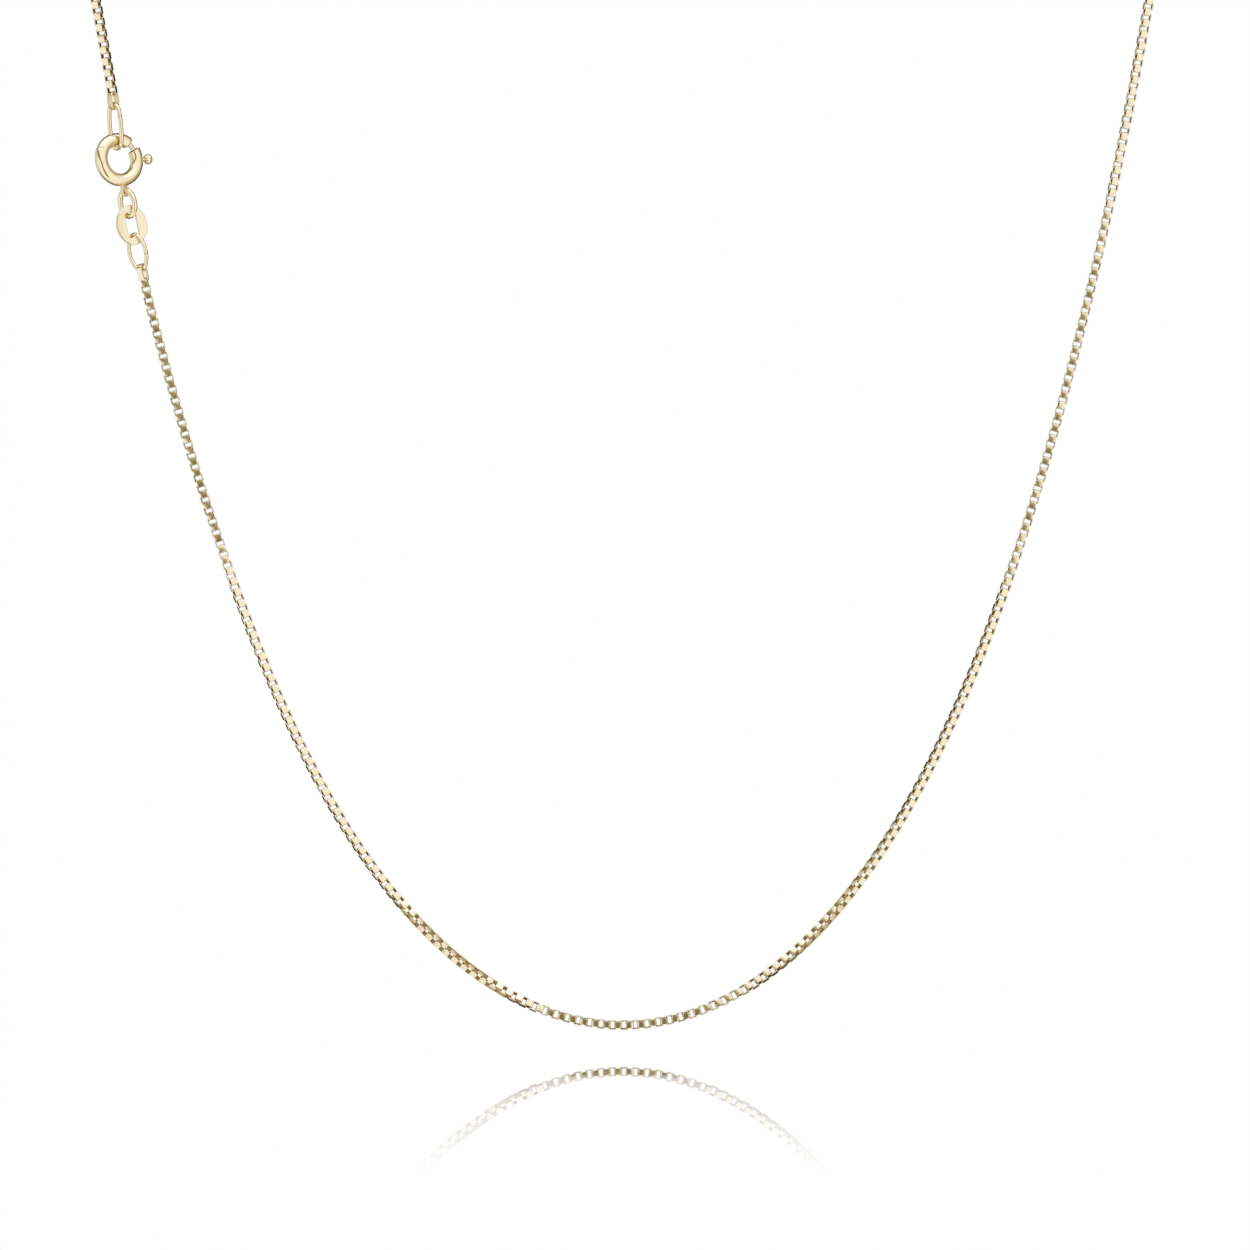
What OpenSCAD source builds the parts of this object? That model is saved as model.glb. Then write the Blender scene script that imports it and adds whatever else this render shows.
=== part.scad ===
// Box chain necklace with a spring ring clasp, in the form in which it hangs when it is worn.
// The origin is the nape, +X is to the right as seen from the front, +Y is towards the back, +Z is up.
// Lengths are in millimetres and angles in degrees.

/* [Necklace] */
// Length of the closed necklace along its middle, clasp included
necklace_l = 450; // [435:1:500]
// Width between the two shoulder points, where the front strands turn back towards the nape
shoulder_w = 110; // [96:1:118]
// How far the shoulder points lie in front of the nape
shoulder_depth = 50; // [40:1:56]
// How far the shoulder points lie below the nape
shoulder_drop = 35; // [28:1:42]
// How far the chain runs straight sideways from the nape before it turns forwards
nape_reach = 40; // [30:1:48]
// How far the chain runs straight up from a shoulder point before it turns back
shoulder_reach = 26; // [18:1:32]
// Length of the left strand between its lowest point and the clasp
clasp_rise = 96.1; // [60:0.1:100]
// How much nearer to the middle the left shoulder point lies, drawn in by the clasp's weight
shoulder_draw = 0.4; // [0:0.1:1]

/* [Chain] */
// Width of the chain across its flats
chain_w = 0.95; // [0.8:0.01:1.05]
// Width of the flat strip that each link is bent from
strip_w = 0.62; // [0.5:0.01:0.7]

/* [End loops] */
// Length of the loop soldered to each end of the chain
end_loop_l = 1.95; // [1.5:0.05:2.4]
// Width of an end loop across its hole
end_loop_w = 1.25; // [1.2:0.05:1.5]
// Thickness of an end loop's band
end_band_t = 0.24; // [0.2:0.01:0.28]
// Width of an end loop's band, along its hole
end_band_w = 0.6; // [0.4:0.05:0.7]

/* [Upper ring] */
// Length of the oval ring between the chain and the spring ring
upper_ring_l = 5; // [4.6:0.05:6]
// Width of the upper ring
upper_ring_w = 2.6; // [2.5:0.05:3]
// Diameter of the upper ring's wire
upper_wire_d = 0.45; // [0.3:0.05:0.5]

/* [Spring ring] */
// Outer diameter of the spring ring
ring_d = 5.55; // [5.3:0.05:6]
// Outer diameter of the tube that the spring ring is bent from
tube_d = 1.32; // [1.1:0.01:1.34]
// Diameter of the bore that the latch slides in
bore_d = 0.84; // [0.7:0.02:0.94]
// Angle of the mouth's open end above the line to the knob's side
mouth_from = 21; // [16:1:26]
// Angle of the mouth's closed end above the same line
mouth_to = 44; // [42:1:56]
// How far the bore runs back from the mouth
bore_sweep = 130; // [110:1:150]
// Outer diameter of the eye soldered to the foot of the spring ring
eye_d = 1.25; // [1.24:0.01:1.4]
// Diameter of the eye's wire
eye_wire_d = 0.28; // [0.2:0.01:0.28]
// How deep the eye and the chain's ends are sunk in solder
solder_sink = 0.15; // [0.1:0.01:0.2]

/* [Latch] */
// Diameter of the latch where it crosses the mouth
latch_d = 0.48; // [0.36:0.02:0.54]
// Angle of the knob when the latch is shut
knob_angle = -6; // [-10:1:-2]
// Angle that the latch turns through to open the mouth
latch_travel = 40; // [36:1:44]
// How far the latch's tip enters the closed end of the mouth, as an angle
tip_entry = 6; // [3:1:7]
// How far the thick guide reaches above and below the knob, as an angle
guide_reach = 14; // [8:1:18]
// Diameter of the knob's stem
stem_d = 0.4; // [0.3:0.02:0.46]
// Length of the stem that shows between the tube and the knob
stem_l = 0.2; // [0.04:0.02:0.3]
// Diameter of the knob
knob_d = 1; // [0.8:0.02:1.2]

/* [Clasp link] */
// Length of the oval link between the spring ring's eye and the tag
clasp_link_l = 3.2; // [3:0.05:3.6]
// Width of the clasp link
clasp_link_w = 2.6; // [2.5:0.05:3]
// Diameter of the clasp link's wire
clasp_wire_d = 0.56; // [0.4:0.02:0.58]

/* [Tag] */
// Length of the flat oval tag
tag_l = 4.15; // [4:0.05:4.8]
// Width of the tag
tag_w = 3.2; // [2.9:0.05:3.6]
// Thickness of the tag
tag_t = 0.35; // [0.25:0.01:0.4]
// Width of the tag's hole
tag_hole_w = 1.06; // [1.04:0.01:1.4]
// Height of the bar above the tag's hole and of the one below it
tag_bar = 0.76; // [0.5:0.01:0.8]

/* [Lower ring] */
// Length of the thin oval ring between the tag and the chain
lower_ring_l = 4.1; // [3.7:0.05:4.6]
// Width of the lower ring
lower_ring_w = 2.8; // [2.7:0.05:3.3]
// Diameter of the lower ring's wire
lower_wire_d = 0.42; // [0.3:0.02:0.5]

/* [Hang] */
// How far the clasp leans from upright, its foot towards the middle
clasp_lean = 11; // [8:0.5:14]
// How far the lower ring leans from upright
lower_lean = 13.5; // [8:0.5:16]
// How far the upper ring leans from upright
upper_lean = 5; // [3:0.5:12]
// How far the spring ring is turned about the strand, right side to the front
ring_turn = -36; // [-40:1:-20]
// How far the tag is turned about the strand, right side to the front
tag_turn = -12; // [-20:1:0]

/* [Clearances] */
// Gap between two pieces where one hangs in the other
link_gap = 0.05; // [0.02:0.01:0.06]
// Gap between the latch and the spring ring's tube
slide_gap = 0.04; // [0.03:0.01:0.05]

/* [Hidden] */
$fn = 48;
gold = [0.87, 0.77, 0.53];

// The front of the necklace is a hanging curve in the plane through the shoulder points.
half_w = shoulder_w / 2;
function cosh(u) = (exp(u) + exp(-u)) / 2;
function sinh(u) = (exp(u) - exp(-u)) / 2;
function tanh(u) = sinh(u) / cosh(u);
function asinh(v) = ln(v + sqrt(v * v + 1));
function unit(v) = v / norm(v);
function path_length(points, i = 1) =
    i < len(points) ? norm(points[i] - points[i - 1]) + path_length(points, i + 1) : 0;

// The hidden stretch of one side: a cubic curve from the nape to the right shoulder point.
// It leaves the nape sideways and meets the front strand in line with it.
function back_point(sag, t) =
    let (shoulder = [half_w, -shoulder_depth, -shoulder_drop],
         rising = [1 / cosh(half_w / sag), 0, tanh(half_w / sag)],
         turn_out = [nape_reach, 0, 0],
         turn_up = shoulder + shoulder_reach * rising)
    3 * (1 - t) * (1 - t) * t * turn_out + 3 * (1 - t) * t * t * turn_up + t * t * t * shoulder;
back_steps = 16;
function back_path(sag) = [for (i = [0 : back_steps]) back_point(sag, i / back_steps)];

// The sag of the hanging curve is the one that gives the necklace its length.
function half_length(sag) = sag * sinh(half_w / sag) + path_length(back_path(sag));
function solve_sag(low, high, steps) =
    let (middle = (low + high) / 2)
    steps == 0 ? middle
        : half_length(middle) > necklace_l / 2 ? solve_sag(middle, high, steps - 1)
        : solve_sag(low, middle, steps - 1);
sag = solve_sag(half_w / 5, half_w * 3, 40);
lowest = -shoulder_drop - sag * (cosh(half_w / sag) - 1);

// How far the front strands hang out of that curve at places across: [across, outwards].
strand_drift = [[-48.9, 0.36], [-48, 0.46], [-46, 0.35], [-43.5, 0.2], [-41, 0.08], [-36, 0.02], [-28, -0.03],
    [-22, -0.15], [-14, -0.22], [-6, -0.15], [0, -0.07], [12, 0]];

// Point of the front at a place across, and the place across of a length along the strand.
function front_point(x) =
    let (drift = lookup(x, strand_drift), u = x / sag)
    [x + drift * tanh(u), -shoulder_depth, lowest + sag * (cosh(u) - 1) - drift / cosh(u)];
function across(along) = sag * asinh(along / sag);

// Pieces hooked in each other are square to each other, or nearly so: the angles between their planes.
tag_cross = 54;
loop_cross = 105;

// An oval ring's ends are round for what hangs in them. Fullness 1 is an end as wide as the ring.
upper_fullness = 0.9;
clasp_fullness = 0.85;
lower_fullness = 0.7;
function end_radius(w, wire_d, fullness) = (w - wire_d) / 2 * fullness;

// How far a band stays off the middle of a ring's round end, because its edges touch first.
// The band bends round the ring's wire, and its plane is turned from the ring's plane.
straight = 1000;
function seat(end_r, wire_d, band_w, turned, bend_r) =
    max([for (side = [-0.95 : 0.05 : 0.95])
        let (x = side * min(wire_d / 2 + band_w / 2, bend_r),
             across = x * cos(turned) - band_w / 2 * sin(turned),
             off = x * sin(turned) + band_w / 2 * cos(turned))
        if (abs(off) < wire_d / 2)
            let (reach = end_r - sqrt(wire_d * wire_d / 4 - off * off))
            end_r - wire_d / 2 - sqrt(reach * reach - across * across)
                + bend_r - sqrt(bend_r * bend_r - x * x)]);
upper_end_r = end_radius(upper_ring_w, upper_wire_d, upper_fullness);
clasp_end_r = end_radius(clasp_link_w, clasp_wire_d, clasp_fullness);
lower_end_r = end_radius(lower_ring_w, lower_wire_d, lower_fullness);
loop_hole_r = end_loop_w / 2 - end_band_t;
upper_loop_gap = link_gap + seat(upper_end_r, upper_wire_d, end_band_w, loop_cross, loop_hole_r);
tag_top_gap = link_gap + seat(clasp_end_r, clasp_wire_d, tag_t, tag_cross, straight);
tag_foot_gap = link_gap + seat(lower_end_r, lower_wire_d, tag_t, tag_cross, straight);
lower_loop_gap = link_gap + seat(lower_end_r, lower_wire_d, end_band_w, loop_cross, loop_hole_r);

// Places of the upper pieces, measured down from where the upper ring bears on the spring ring's tube.
upper_ring_low = upper_wire_d + link_gap;
upper_ring_mid = upper_ring_low - upper_ring_l / 2;
upper_loop_low = upper_ring_low - upper_ring_l + upper_wire_d + upper_loop_gap + end_band_t;
upper_loop_mid = upper_loop_low - end_loop_l / 2;

// Places of the clasp's pieces, measured down the strand from the spring ring's centre.
ring_mid_r = (ring_d - tube_d) / 2;
eye_top = ring_d / 2 - solder_sink;
eye_mid = eye_top + eye_d / 2;
clasp_link_top = eye_top + eye_d - eye_wire_d - link_gap - clasp_wire_d;
clasp_link_mid = clasp_link_top + clasp_link_l / 2;
tag_top = clasp_link_top + clasp_link_l - clasp_wire_d - tag_top_gap - tag_bar;
tag_mid = tag_top + tag_l / 2;
tag_seat = tag_top + tag_l - tag_bar - tag_foot_gap;

// Places of the lower pieces, measured down from where the lower ring bears on the tag.
lower_ring_mid = lower_ring_l / 2 - lower_wire_d;
lower_loop_top = lower_ring_l - 2 * lower_wire_d - lower_loop_gap - end_band_t;
lower_loop_mid = lower_loop_top + end_loop_l / 2;

// Turns about the strand, right side to the front.
upper_ring_turn = ring_turn + 90;
upper_loop_turn = upper_ring_turn - loop_cross;
clasp_link_turn = tag_turn + tag_cross;
eye_turn = clasp_link_turn - 90;
lower_ring_turn = tag_turn + tag_cross;
lower_loop_turn = lower_ring_turn - loop_cross;

// A line down the strand at a lean, and the places that hang on it. A piece's own +Y is up that line,
// and its own +Z faces the front.
function down(lean) = [sin(lean), 0, -cos(lean)];
module hung(from, lean, place, turn) {
    translate(from + place * down(lean))
        rotate([0, -lean, 0])
            rotate([90, 0, 0])
                rotate([0, -turn, 0])
                    children();
}

clasp_foot = front_point(-across(clasp_rise));
tag_foot = clasp_foot - (lower_loop_top + end_loop_l) * down(lower_lean);
ring_centre = tag_foot - tag_seat * down(clasp_lean);

// The upper ring bears on the spring ring where the tube is square to its pull.
ring_side = [cos(clasp_lean) * cos(ring_turn), -sin(ring_turn), sin(clasp_lean) * cos(ring_turn)];
hook_angle = (clasp_lean - upper_lean) * cos(ring_turn);
hook_side = sin(hook_angle) * ring_side - cos(hook_angle) * down(clasp_lean);
hook = ring_centre + ring_mid_r * hook_side + tube_d / 2 * down(upper_lean);
clasp_head = hook + (upper_loop_low - end_loop_l) * down(upper_lean);

// One closed skin over rings of points, shut by flat ends or by joining the last ring to the first.
module sweep(rings, joined) {
    count = len(rings);
    sides = len(rings[0]);
    skin = [for (i = [0 : joined ? count - 1 : count - 2], j = [0 : sides - 1])
        let (next = (i + 1) % count, k = (j + 1) % sides)
        each [[i * sides + j, next * sides + j, next * sides + k],
              [i * sides + j, next * sides + k, i * sides + k]]];
    first_end = [for (j = [0 : sides - 1]) j];
    last_end = [for (j = [sides - 1 : -1 : 0]) (count - 1) * sides + j];
    polyhedron([for (ring = rings) each ring], concat(skin, joined ? [] : [first_end, last_end]));
}

// The chain's route, from the clasp's foot round the front and the nape to the clasp's head.
front_steps = 40;
head_steps = 5;
route_start = -across(clasp_rise + solder_sink);
function left_back_point(t) =
    let (p = back_point(sag, t)) [shoulder_draw * t - p.x, p.y, p.z];
function head_point(t) =
    let (shoulder = left_back_point(1),
         falling = [1 / cosh(half_w / sag), 0, -tanh(half_w / sag)],
         end = clasp_head + solder_sink * down(upper_lean),
         chord = end - shoulder)
    (1 - t) ^ 3 * shoulder + 3 * (1 - t) ^ 2 * t * (shoulder + norm(chord) / 3 * falling)
        + 3 * (1 - t) * t ^ 2 * (end - chord / 3) + t ^ 3 * end;
route = concat(
    [for (i = [0 : front_steps - 1]) front_point(route_start + (half_w - route_start) * i / front_steps)],
    [for (i = [back_steps : -1 : 1]) back_point(sag, i / back_steps)],
    [for (i = [0 : back_steps]) left_back_point(i / back_steps)],
    [for (i = [1 : head_steps]) head_point(i / head_steps)]);
function heading(i) = unit(route[min(i + 1, len(route) - 1)] - route[max(i - 1, 0)]);

// The chain's outline across the route, carried along it without a twist of its own.
// It is the flats of the links that face one way and of those that face the other.
chain_outline = let (w = chain_w / 2, s = strip_w / 2)
    [[w, -s], [w, s], [s, w], [-s, w], [-w, s], [-w, -s], [-s, -w], [s, -w]];
function squared(facing, ahead) = unit(facing - (facing * ahead) * ahead);
facings = [for (i = 0, facing = [0, -1, 0]; i < len(route); i = i + 1,
    facing = i < len(route) ? squared(facing, heading(i)) : facing) facing];
chain_rings = [for (i = [0 : len(route) - 1])
    let (side = cross(heading(i), facings[i]))
    [for (q = chain_outline) route[i] + q.x * facings[i] + q.y * side]];

// Loop of flat band with round ends, its hole along its own Z.
module band_loop() {
    module outline(l, w) {
        square([w, l - w], center = true);
        for (end = [-1, 1]) translate([0, end * (l - w) / 2]) circle(d = w);
    }
    translate([0, 0, -end_band_w / 2])
        linear_extrude(end_band_w)
            difference() {
                outline(end_loop_l, end_loop_w);
                outline(end_loop_l - 2 * end_band_t, end_loop_w - 2 * end_band_t);
            }
}

module chain() {
    color(gold) {
        sweep(chain_rings, false);
        hung(hook, upper_lean, upper_loop_mid, upper_loop_turn) band_loop();
        hung(tag_foot, lower_lean, lower_loop_mid, lower_loop_turn) band_loop();
    }
}

// Point of an oval of four arcs, whose ends have a radius of their own, where its outline faces an angle.
function oval_point(l, w, end_r, facing) =
    let (end_c = l / 2 - end_r,
         side_c = (end_c * end_c - (w / 2 - end_r) * (w / 2 - end_r)) / (w - 2 * end_r),
         split = atan2(end_c, side_c),
         out = [cos(facing), sin(facing)])
    abs(sin(facing)) > sin(split) ? [0, sign(out.y) * end_c] + end_r * out
        : [-sign(out.x) * side_c, 0] + (w / 2 + side_c) * out;

// Angles at which an oval has its points: more of them round its ends than along its sides.
end_facings = [for (i = [0 : 11]) 20 + i * 140 / 11];
side_facings = [-14, -7, 0, 7, 14];
oval_facings = concat(side_facings, end_facings, [for (f = side_facings) f + 180], [for (f = end_facings) f + 180]);
wire_sides = 12;

// Oval ring of round wire in the XY plane, long along Y.
module oval_ring(l, w, wire_d, end_r) {
    sweep([for (f = oval_facings)
        let (middle = oval_point(l - wire_d, w - wire_d, end_r, f), out = [cos(f), sin(f), 0])
        [for (j = [0 : wire_sides - 1])
            let (round = 360 * j / wire_sides)
            [middle.x, middle.y, 0] + wire_d / 2 * (cos(round) * out + [0, 0, sin(round)])]], true);
}

module upper_ring() {
    color(gold)
        hung(hook, upper_lean, upper_ring_mid, upper_ring_turn)
            oval_ring(upper_ring_l, upper_ring_w, upper_wire_d, upper_end_r);
}

module clasp_link() {
    color(gold)
        hung(ring_centre, clasp_lean, clasp_link_mid, clasp_link_turn)
            oval_ring(clasp_link_l, clasp_link_w, clasp_wire_d, clasp_end_r);
}

module lower_ring() {
    color(gold)
        hung(tag_foot, lower_lean, lower_ring_mid, lower_ring_turn)
            oval_ring(lower_ring_l, lower_ring_w, lower_wire_d, lower_end_r);
}

// Flat oval plate with an upright hole that the clasp link and the lower ring pass through.
tag_end_r = 0.4 * tag_w;
hole_corner_r = 0.2 * tag_hole_w;
module tag() {
    hole_l = tag_l - 2 * tag_bar;
    corner = [tag_hole_w / 2 - hole_corner_r, hole_l / 2 - hole_corner_r];
    color(gold)
        hung(ring_centre, clasp_lean, tag_mid, tag_turn)
            translate([0, 0, -tag_t / 2])
                linear_extrude(tag_t)
                    difference() {
                        polygon([for (f = oval_facings) oval_point(tag_l, tag_w, tag_end_r, f)]);
                        polygon([for (side = [0 : 3], step = [0 : 4])
                            let (a = side * 90 + step * 22.5, m = side * 90 + 45)
                            [sign(cos(m)) * corner.x, sign(sin(m)) * corner.y]
                                + hole_corner_r * [cos(a), sin(a)]]);
                    }
}

// Arc of round bar or bore about the spring ring's own axis.
module bar_arc(d, from, to) {
    rotate([0, 0, from])
        rotate_extrude(angle = to - from)
            translate([ring_mid_r, 0])
                circle(d = d);
}

// Window in the outer wall of the tube that the knob's stem travels in.
module stem_window() {
    half = stem_d / 2 + slide_gap;
    spare = asin(half / (ring_mid_r + bore_d / 2));
    rotate([0, 0, knob_angle - latch_travel - spare])
        rotate_extrude(angle = latch_travel + 2 * spare)
            translate([ring_mid_r, -half])
                square([tube_d, 2 * half]);
}

// How far the cutting shapes run out through the mouth's faces.
overrun = 2;
module spring_ring() {
    color(gold)
        hung(ring_centre, clasp_lean, 0, ring_turn)
            difference() {
                union() {
                    bar_arc(tube_d, mouth_to, mouth_from + 360);
                    translate([0, -eye_mid, 0])
                        rotate([0, ring_turn - eye_turn, 0])
                            rotate_extrude()
                                translate([(eye_d - eye_wire_d) / 2, 0])
                                    circle(d = eye_wire_d);
                }
                bar_arc(bore_d, mouth_from - bore_sweep, mouth_from + overrun);
                bar_arc(latch_d + 2 * slide_gap, mouth_to - overrun, mouth_to + tip_entry + overrun);
                stem_window();
            }
}

module latch() {
    knob_r = ring_d / 2 + stem_l + knob_d / 2;
    guide_top = min(knob_angle + guide_reach, mouth_from - overrun);
    color(gold)
        hung(ring_centre, clasp_lean, 0, ring_turn) {
            bar_arc(bore_d - 2 * slide_gap, knob_angle - guide_reach, guide_top);
            bar_arc(latch_d, knob_angle, mouth_to + tip_entry);
            rotate([0, 0, knob_angle]) {
                translate([ring_mid_r, 0, 0])
                    rotate([0, 90, 0])
                        cylinder(d = stem_d, h = knob_r - ring_mid_r);
                translate([knob_r, 0, 0])
                    sphere(d = knob_d);
            }
        }
}

chain();
upper_ring();
spring_ring();
latch();
clasp_link();
tag();
lower_ring();
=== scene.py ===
import math
import random

import bmesh
import bpy
from mathutils import Matrix, Vector


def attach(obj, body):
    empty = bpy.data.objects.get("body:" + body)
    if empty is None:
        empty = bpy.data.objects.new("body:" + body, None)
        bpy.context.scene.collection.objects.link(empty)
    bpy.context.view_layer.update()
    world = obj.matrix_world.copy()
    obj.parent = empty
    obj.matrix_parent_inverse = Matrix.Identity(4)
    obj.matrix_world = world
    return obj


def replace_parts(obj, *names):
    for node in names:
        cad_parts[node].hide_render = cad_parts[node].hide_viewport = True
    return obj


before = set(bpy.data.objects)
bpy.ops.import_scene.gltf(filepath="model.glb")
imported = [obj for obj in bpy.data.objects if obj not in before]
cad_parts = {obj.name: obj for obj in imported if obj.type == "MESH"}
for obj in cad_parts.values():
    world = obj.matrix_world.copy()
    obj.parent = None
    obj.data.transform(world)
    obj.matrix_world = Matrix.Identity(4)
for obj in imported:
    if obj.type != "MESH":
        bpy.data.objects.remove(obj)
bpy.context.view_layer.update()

MM = 0.001
scene = bpy.context.scene

# The necklace's sizes, in mm and degrees, the same as in the part's source
NECKLACE_L = 450.0
SHOULDER_W, SHOULDER_DEPTH, SHOULDER_DROP = 110.0, 50.0, 35.0
NAPE_REACH, SHOULDER_REACH = 40.0, 26.0
CLASP_RISE, SHOULDER_DRAW = 96.1, 0.4
CHAIN_W, STRIP_W, STRIP_T = 0.95, 0.62, 0.12
LINK_L, LINK_CORNER, LINK_RIM = 0.83, 0.08, 0.03
END_LOOP_L, END_LOOP_W, END_LOOP_FULLNESS = 1.95, 1.25, 0.93
END_BAND_T, END_BAND_W, END_BAND_EDGE = 0.24, 0.6, 0.08
UPPER_RING_L, UPPER_RING_W, UPPER_WIRE_D = 5.0, 2.6, 0.45
RING_D, TUBE_D, BORE_D = 5.55, 1.32, 0.84
MOUTH_FROM, MOUTH_TO, BORE_SWEEP = 21.0, 44.0, 130.0
EYE_D, EYE_WIRE_D, SOLDER_SINK = 1.25, 0.28, 0.15
LATCH_D, KNOB_ANGLE, LATCH_TRAVEL, TIP_ENTRY, GUIDE_REACH = 0.48, -6.0, 40.0, 6.0, 14.0
STEM_D, STEM_L, KNOB_D = 0.4, 0.2, 1.0
CLASP_LINK_L, CLASP_LINK_W, CLASP_WIRE_D = 3.2, 2.6, 0.56
TAG_L, TAG_W, TAG_T, TAG_HOLE_W, TAG_BAR, TAG_FULLNESS = 4.15, 3.2, 0.35, 1.06, 0.76, 0.8
LOWER_RING_L, LOWER_RING_W, LOWER_WIRE_D = 4.1, 2.8, 0.42
UPPER_FULLNESS, CLASP_FULLNESS, LOWER_FULLNESS = 0.9, 0.85, 0.7
CLASP_LEAN, LOWER_LEAN, UPPER_LEAN = 11.0, 13.5, 5.0
RING_TURN, TAG_TURN, TAG_CROSS, LOOP_CROSS = -36.0, -12.0, 54.0, 105.0
LINK_GAP, SLIDE_GAP = 0.05, 0.04


# Where the chain runs
# The steps that the hidden stretch is measured in, as in the part's source, and the tries for the sag.
BACK_STEPS, SAG_TRIES = 16, 40
half_w = SHOULDER_W / 2


def back_point(sag, t):
    """Point of the hidden stretch, from the nape (0) to the right shoulder (1)."""
    shoulder = Vector((half_w, -SHOULDER_DEPTH, -SHOULDER_DROP))
    u = half_w / sag
    rising = Vector((1 / math.cosh(u), 0, math.tanh(u)))
    turn_out = Vector((NAPE_REACH, 0, 0))
    turn_up = shoulder + SHOULDER_REACH * rising
    return 3 * (1 - t) ** 2 * t * turn_out + 3 * (1 - t) * t * t * turn_up + t ** 3 * shoulder


def half_length(sag):
    """Length of half the closed loop whose front hangs with a sag."""
    back = [back_point(sag, i / BACK_STEPS) for i in range(BACK_STEPS + 1)]
    return sag * math.sinh(half_w / sag) + sum((b - a).length for a, b in zip(back, back[1:]))


low, high = half_w / 5, half_w * 3
for _ in range(SAG_TRIES):
    middle = (low + high) / 2
    if half_length(middle) > NECKLACE_L / 2:
        low = middle
    else:
        high = middle
sag = (low + high) / 2
lowest = -SHOULDER_DROP - sag * (math.cosh(half_w / sag) - 1)


# How far the front strands hang out of that curve at places across: (across, outwards).
STRAND_DRIFT = [(-48.9, 0.36), (-48, 0.46), (-46, 0.35), (-43.5, 0.2), (-41, 0.08), (-36, 0.02),
                (-28, -0.03), (-22, -0.15), (-14, -0.22), (-6, -0.15), (0, -0.07), (12, 0)]


def lookup(x, table, eased=False):
    """Value at x in a table of pairs, straight or eased between its points."""
    for (x0, v0), (x1, v1) in zip(table, table[1:]):
        if x <= x1:
            share = min(max((x - x0) / (x1 - x0), 0), 1)
            share = share * share * (3 - 2 * share) if eased else share
            return v0 + (v1 - v0) * share
    return table[-1][1]


def front_point(x):
    """Point of the front, at a place across, on the hanging curve with its drift."""
    drift, u = lookup(x, STRAND_DRIFT), x / sag
    return Vector((x + drift * math.tanh(u), -SHOULDER_DEPTH,
                   lowest + sag * (math.cosh(u) - 1) - drift / math.cosh(u)))


def across(along):
    """The place across of a length along the hanging curve from its lowest point."""
    return sag * math.asinh(along / sag)


# The bend's radius of a piece that isn't bent, and how finely places across a ring's wire are tried.
STRAIGHT, SEAT_TRIES = 1000.0, 20


def seat(width, wire_d, fullness, band_w, turn, bend_r=STRAIGHT):
    """How far a piece that hangs in a ring's round end stays off the end's middle, because the edges of its
    band touch first: the ring's size, the band's width, its turn to the ring, and the bend it hangs by."""
    end_r = (width - wire_d) / 2 * fullness
    turn, offs = math.radians(turn), []
    for step in range(1 - SEAT_TRIES, SEAT_TRIES):
        x = step / SEAT_TRIES * min(wire_d / 2 + band_w / 2, bend_r)
        sideways = x * math.cos(turn) - band_w / 2 * math.sin(turn)
        off = x * math.sin(turn) + band_w / 2 * math.cos(turn)
        if abs(off) < wire_d / 2:
            reach = end_r - math.sqrt(wire_d ** 2 / 4 - off ** 2)
            offs.append(end_r - wire_d / 2 - math.sqrt(reach ** 2 - sideways ** 2)
                        + bend_r - math.sqrt(bend_r ** 2 - x ** 2))
    return max(offs)


upper_ring_size = UPPER_RING_W, UPPER_WIRE_D, UPPER_FULLNESS
clasp_link_size = CLASP_LINK_W, CLASP_WIRE_D, CLASP_FULLNESS
lower_ring_size = LOWER_RING_W, LOWER_WIRE_D, LOWER_FULLNESS
loop_hole_r = END_LOOP_W / 2 - END_BAND_T
upper_loop_gap = LINK_GAP + seat(*upper_ring_size, END_BAND_W, LOOP_CROSS, loop_hole_r)
tag_top_gap = LINK_GAP + seat(*clasp_link_size, TAG_T, TAG_CROSS)
tag_foot_gap = LINK_GAP + seat(*lower_ring_size, TAG_T, TAG_CROSS)
lower_loop_gap = LINK_GAP + seat(*lower_ring_size, END_BAND_W, LOOP_CROSS, loop_hole_r)

# Places of the upper pieces, measured down from where the upper ring bears on the spring ring's tube.
upper_ring_low = UPPER_WIRE_D + LINK_GAP
upper_ring_mid = upper_ring_low - UPPER_RING_L / 2
upper_loop_low = upper_ring_low - UPPER_RING_L + UPPER_WIRE_D + upper_loop_gap + END_BAND_T
upper_loop_mid = upper_loop_low - END_LOOP_L / 2

# Places of the clasp's pieces, measured down the strand from the spring ring's centre.
ring_mid_r = (RING_D - TUBE_D) / 2
eye_top = RING_D / 2 - SOLDER_SINK
eye_mid = eye_top + EYE_D / 2
clasp_link_top = eye_top + EYE_D - EYE_WIRE_D - LINK_GAP - CLASP_WIRE_D
clasp_link_mid = clasp_link_top + CLASP_LINK_L / 2
tag_top = clasp_link_top + CLASP_LINK_L - CLASP_WIRE_D - tag_top_gap - TAG_BAR
tag_mid = tag_top + TAG_L / 2
tag_seat = tag_top + TAG_L - TAG_BAR - tag_foot_gap

# Places of the lower pieces, measured down from where the lower ring bears on the tag.
lower_ring_mid = LOWER_RING_L / 2 - LOWER_WIRE_D
lower_loop_top = LOWER_RING_L - 2 * LOWER_WIRE_D - lower_loop_gap - END_BAND_T
lower_loop_mid = lower_loop_top + END_LOOP_L / 2

upper_ring_turn = RING_TURN + 90
upper_loop_turn = upper_ring_turn - LOOP_CROSS
clasp_link_turn = TAG_TURN + TAG_CROSS
eye_turn = clasp_link_turn - 90
lower_ring_turn = TAG_TURN + TAG_CROSS
lower_loop_turn = lower_ring_turn - LOOP_CROSS


def turned(degrees, axis):
    return Matrix.Rotation(math.radians(degrees), 4, axis)


def down(lean):
    """The way down a line that leans, its foot towards the middle of the necklace."""
    return Vector((math.sin(math.radians(lean)), 0, -math.cos(math.radians(lean))))


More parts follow.
